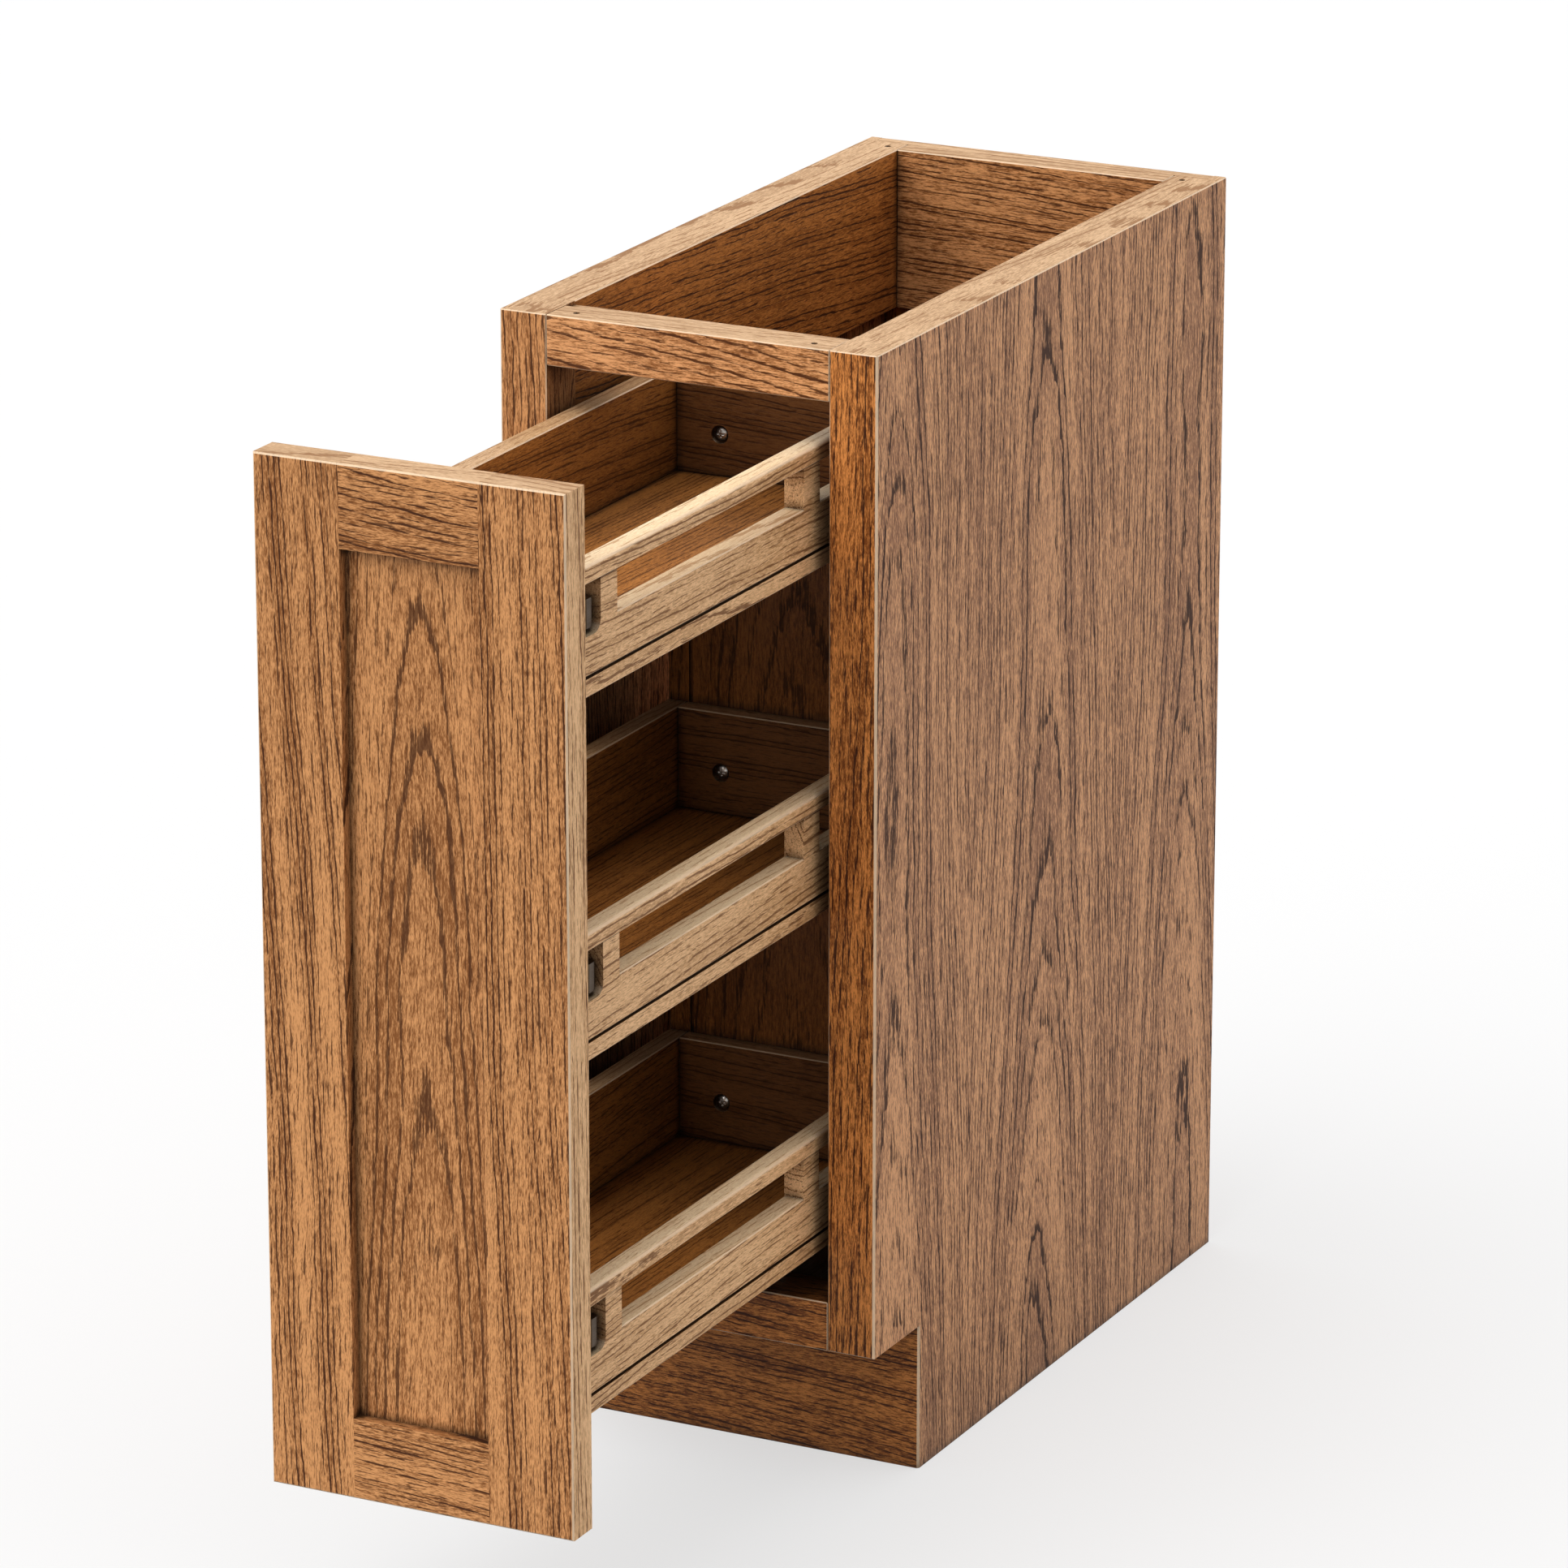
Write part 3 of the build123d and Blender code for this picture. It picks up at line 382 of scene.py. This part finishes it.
# Tray screws: two dome-head steel screws through each tray's back into the rear upright, with their heads sunk
# in counterbores. Each head is turned, and a cross recess is pressed into its crown.
SCREW_SPREAD = 0.050
SCREW_RISE = 0.032
SEAT_DEPTH = 0.004
HEAD_RADIUS = 0.005
HEAD_HEIGHT = 0.003
RIM_HEIGHT = 0.0008
SHANK_RADIUS = 0.002
SHANK_LENGTH = 0.023875
RECESS_ARM = 0.0029
RECESS_HALF_WIDTH = 0.0007
RECESS_DEPTH = 0.0015
RECESS_LEAN = 0.00028
CROWN_RINGS = 18
TURN_STEPS = 48


def recess_bar(along, aside):
    """1 inside a straight bar of the recess and 0 outside, with walls that lean over a fifth of its width."""
    width = np.clip((RECESS_HALF_WIDTH - np.abs(aside)) / RECESS_LEAN, 0, 1)
    return width * np.clip((RECESS_ARM - np.abs(along)) / RECESS_LEAN, 0, 1)


def turned_screw():
    """The points and faces of a screw along Y with the seat of its head at the origin. A profile of rings is
    turned about the axis: the crown's height falls with the square of the radius to the rim, then come the
    flat seat and the shank. On the crown each point sinks by the deeper of two crossed bars. One point closes
    the crown and one the end of the shank."""
    crown = np.linspace(1 / CROWN_RINGS, 1, CROWN_RINGS)
    radius = np.concatenate([crown * HEAD_RADIUS, [HEAD_RADIUS, SHANK_RADIUS, SHANK_RADIUS]])[:, None]
    dome = HEAD_HEIGHT - (HEAD_HEIGHT - RIM_HEIGHT) * crown**2
    angle = np.arange(TURN_STEPS) * (2 * np.pi / TURN_STEPS)
    across, up = radius * np.cos(angle), radius * np.sin(angle)
    height = np.tile(np.concatenate([dome, [0, 0, -SHANK_LENGTH]])[:, None], TURN_STEPS)
    cross = np.maximum(recess_bar(across, up), recess_bar(up, across))
    height[:CROWN_RINGS] -= RECESS_DEPTH * cross[:CROWN_RINGS]
    rings = np.stack([across, -height, up], axis=-1).reshape(-1, 3)
    points = np.concatenate([rings, [(0, RECESS_DEPTH - HEAD_HEIGHT, 0), (0, SHANK_LENGTH, 0)]])

    here = np.arange(len(rings)).reshape(-1, TURN_STEPS)
    beside = np.roll(here, -1, axis=1)
    walls = np.stack([here[:-1], here[1:], beside[1:], beside[:-1]], axis=-1).reshape(-1, 4)
    crown_tip, shank_tip = np.full((2, TURN_STEPS), len(rings)) + [[0], [1]]
    crown_fan = np.stack([crown_tip, here[0], beside[0]], axis=-1)
    shank_fan = np.stack([here[-1], shank_tip, beside[-1]], axis=-1)
    return points, walls, np.concatenate([crown_fan, shank_fan])


points, walls, tips = turned_screw()
seats = []
for number in (1, 2, 3):
    seat_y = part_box(f"tray_{number}_back")[0][1] + SEAT_DEPTH
    seat_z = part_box(f"tray_{number}_floor")[1][2] + SCREW_RISE
    seats += [(-SCREW_SPREAD, seat_y, seat_z), (SCREW_SPREAD, seat_y, seat_z)]
seats = np.array(seats)
starts = (np.arange(len(seats)) * len(points))[:, None, None]
faces = (starts + walls).reshape(-1, 4).tolist() + (starts + tips).reshape(-1, 3).tolist()
screw_mesh = bpy.data.meshes.new("turned_tray_screws")
screw_mesh.from_pydata((seats[:, None] + points).reshape(-1, 3).tolist(), [], faces)
screw_mesh.polygons.foreach_set("use_smooth", np.ones(len(faces), dtype=bool))
screw_mesh.materials.append(screw_steel)
screws = bpy.data.objects.new("turned_tray_screws", screw_mesh)
bpy.context.scene.collection.objects.link(screws)
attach(screws, "pull_out")
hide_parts("tray_screws")

# Door: a flat panel in a frame of two stiles and two rails, in solid oak, with soft pads behind its corners.
# The panel's flat-sawn figure rises in pointed arches, and the stiles' grain runs straight up.
PALE_EDGE = (("Side", "tray", "YXZ"), *CROSS_LIT_TOP)
for name, axes, log, pith, taper, turned in (
    ("door_left_stile", "XYZ", (2.2, 4.6, 7.1), (-0.27, -0.45, 0), 0.05, CROSS_LIT_TOP),
    ("door_right_stile", "XYZ", (6.6, 1.2, 5.3), (0.26, -0.45, 0), -0.03, PALE_EDGE),
    ("door_top_rail", "ZYX", (8.1, 3.3, 2.6), (0.72, -0.47, 0), 0.09, CROSS_LIT_TOP),
    ("door_bottom_rail", "ZYX", (1.1, 9.3, 4.6), (0.28, -0.47, 0), -0.08, ()),
):
    dress(name, oak(name, "front", axes, log, pith, turned, taper=taper, contrast=1.25))
panel_cut = {"log": (5.7, 7.4, 9.1), "pith": (0.005, -0.455, 0), "ring": 0.005, "taper": 0.045, "sway": 0.05}
dress("door_panel", oak("door_panel", "front", "XYZ", **panel_cut))
PAD_CELLS = (900.0, 900.0, 900.0)
PAD_LIGHT = (0.62, 0.60, 0.56, 1)
PAD_DARK = (0.46, 0.44, 0.40, 1)
pad = bpy.data.materials.new("bumper_rubber")
pad.use_nodes = True
tree = pad.node_tree
rubber = tree.nodes["Principled BSDF"].inputs
mottle = noise(tree, add_node(tree, "TexCoord").outputs["Object"], PAD_CELLS)
tree.links.new(mix_colour(tree, mottle, PAD_LIGHT, PAD_DARK), rubber["Base Color"])
tree.links.new(swing(tree, mottle, 0.3, 0.45), rubber["Roughness"])
dress("door_bumpers", pad)

# Door brackets: folded steel angles in the trays' front corners, screwed through the trays into the door.
# On the right each has a dark lug that shows in the slot of the tray's side.
dress("door_brackets", bracket_steel)
dress("door_screws", screw_steel)


# Studio: a white paper floor under a soft white dome, with one broad lamp above the front left. The paper and
# the dome look white to the camera and in reflections, and light the cabinet more gently than they look.
def seen_directly(tree):
    """1 where the camera sees a surface, itself or in a mirror or through glass, and 0 where it only lights."""
    path = add_node(tree, "LightPath").outputs
    mirrored = calc(tree, "MAXIMUM", path["Is Glossy Ray"], path["Is Transmission Ray"])
    return calc(tree, "MAXIMUM", path["Is Camera Ray"], mirrored)


FLOOR_REACH = 20.0
FLOOR_DROP = 0.0004
PAPER_GREY = (0.34, 0.34, 0.34, 1)
PAPER_GLOW = 0.585
DOME_RIM = 0.60
DOME_TOP = 1.0
DOME_SEEN = 0.975
LAMP_STRENGTH = 1.4
LAMP_SPREAD = math.radians(60)
LAMP_SIDE = Vector((-0.36, -0.52, 0.78))
corners = [(x * FLOOR_REACH, y * FLOOR_REACH, -FLOOR_DROP) for x, y in ((-1, -1), (1, -1), (1, 1), (-1, 1))]
floor_mesh = bpy.data.meshes.new("floor")
floor_mesh.from_pydata(corners, [], [(0, 1, 2, 3)])
floor = bpy.data.objects.new("floor", floor_mesh)
bpy.context.scene.collection.objects.link(floor)
paper = bpy.data.materials.new("paper_floor")
paper.use_nodes = True
tree = paper.node_tree
tree.nodes.clear()
shade = add_node(tree, "BsdfDiffuse", {"Color": PAPER_GREY})
glow = add_node(tree, "Emission", {"Strength": calc(tree, "MULTIPLY", seen_directly(tree), PAPER_GLOW)})
both = add_node(tree, "AddShader", {0: shade.outputs[0], 1: glow.outputs[0]})
tree.links.new(both.outputs[0], add_node(tree, "OutputMaterial").inputs["Surface"])
floor_mesh.materials.append(paper)

world = bpy.data.worlds.new("studio")
bpy.context.scene.world = world
world.use_nodes = True
tree = world.node_tree
tree.nodes.clear()
height = add_node(tree, "SeparateXYZ", {0: add_node(tree, "TexCoord").outputs["Generated"]}).outputs["Z"]
dome = {"Value": height, "From Min": 0.0, "From Max": 0.9, "To Min": DOME_RIM, "To Max": DOME_TOP}
light = add_node(tree, "MapRange", dome).outputs["Result"]
strength = add_node(tree, "Mix", {"Factor": seen_directly(tree), "A": light, "B": DOME_SEEN})
sky = add_node(tree, "Background", {"Color": (1, 1, 1, 1), "Strength": strength.outputs["Result"]})
tree.links.new(sky.outputs[0], add_node(tree, "OutputWorld").inputs["Surface"])

lamp = bpy.data.lights.new("key_lamp", "SUN")
lamp.energy = LAMP_STRENGTH
lamp.angle = LAMP_SPREAD
key_lamp = bpy.data.objects.new("key_lamp", lamp)
key_lamp.rotation_euler = LAMP_SIDE.to_track_quat("Z", "Y").to_euler()
bpy.context.scene.collection.objects.link(key_lamp)

# Camera: far off with a long lens, a little above the case and to the right of the door. It looks straight at
# a point near the middle of the cabinet, without shift.
CAMERA_TARGET = Vector((0.0276, 0.0, 0.5124))
CAMERA_DISTANCE = 6.087
LENS_MM = 189.4
SENSOR_MM = 36.0
azimuth, elevation = math.radians(26.766), math.radians(17.657)
level = math.cos(elevation)
back = Vector((math.sin(azimuth) * level, -math.cos(azimuth) * level, math.sin(elevation)))
camera_data = bpy.data.cameras.new("camera")
camera_data.lens = LENS_MM
camera_data.sensor_width = SENSOR_MM
camera = bpy.data.objects.new("camera", camera_data)
camera.location = CAMERA_TARGET + back * CAMERA_DISTANCE
camera.rotation_euler = back.to_track_quat("Z", "Y").to_euler()
bpy.context.scene.collection.objects.link(camera)
bpy.context.scene.camera = camera
bpy.context.scene.view_settings.view_transform = "Standard"
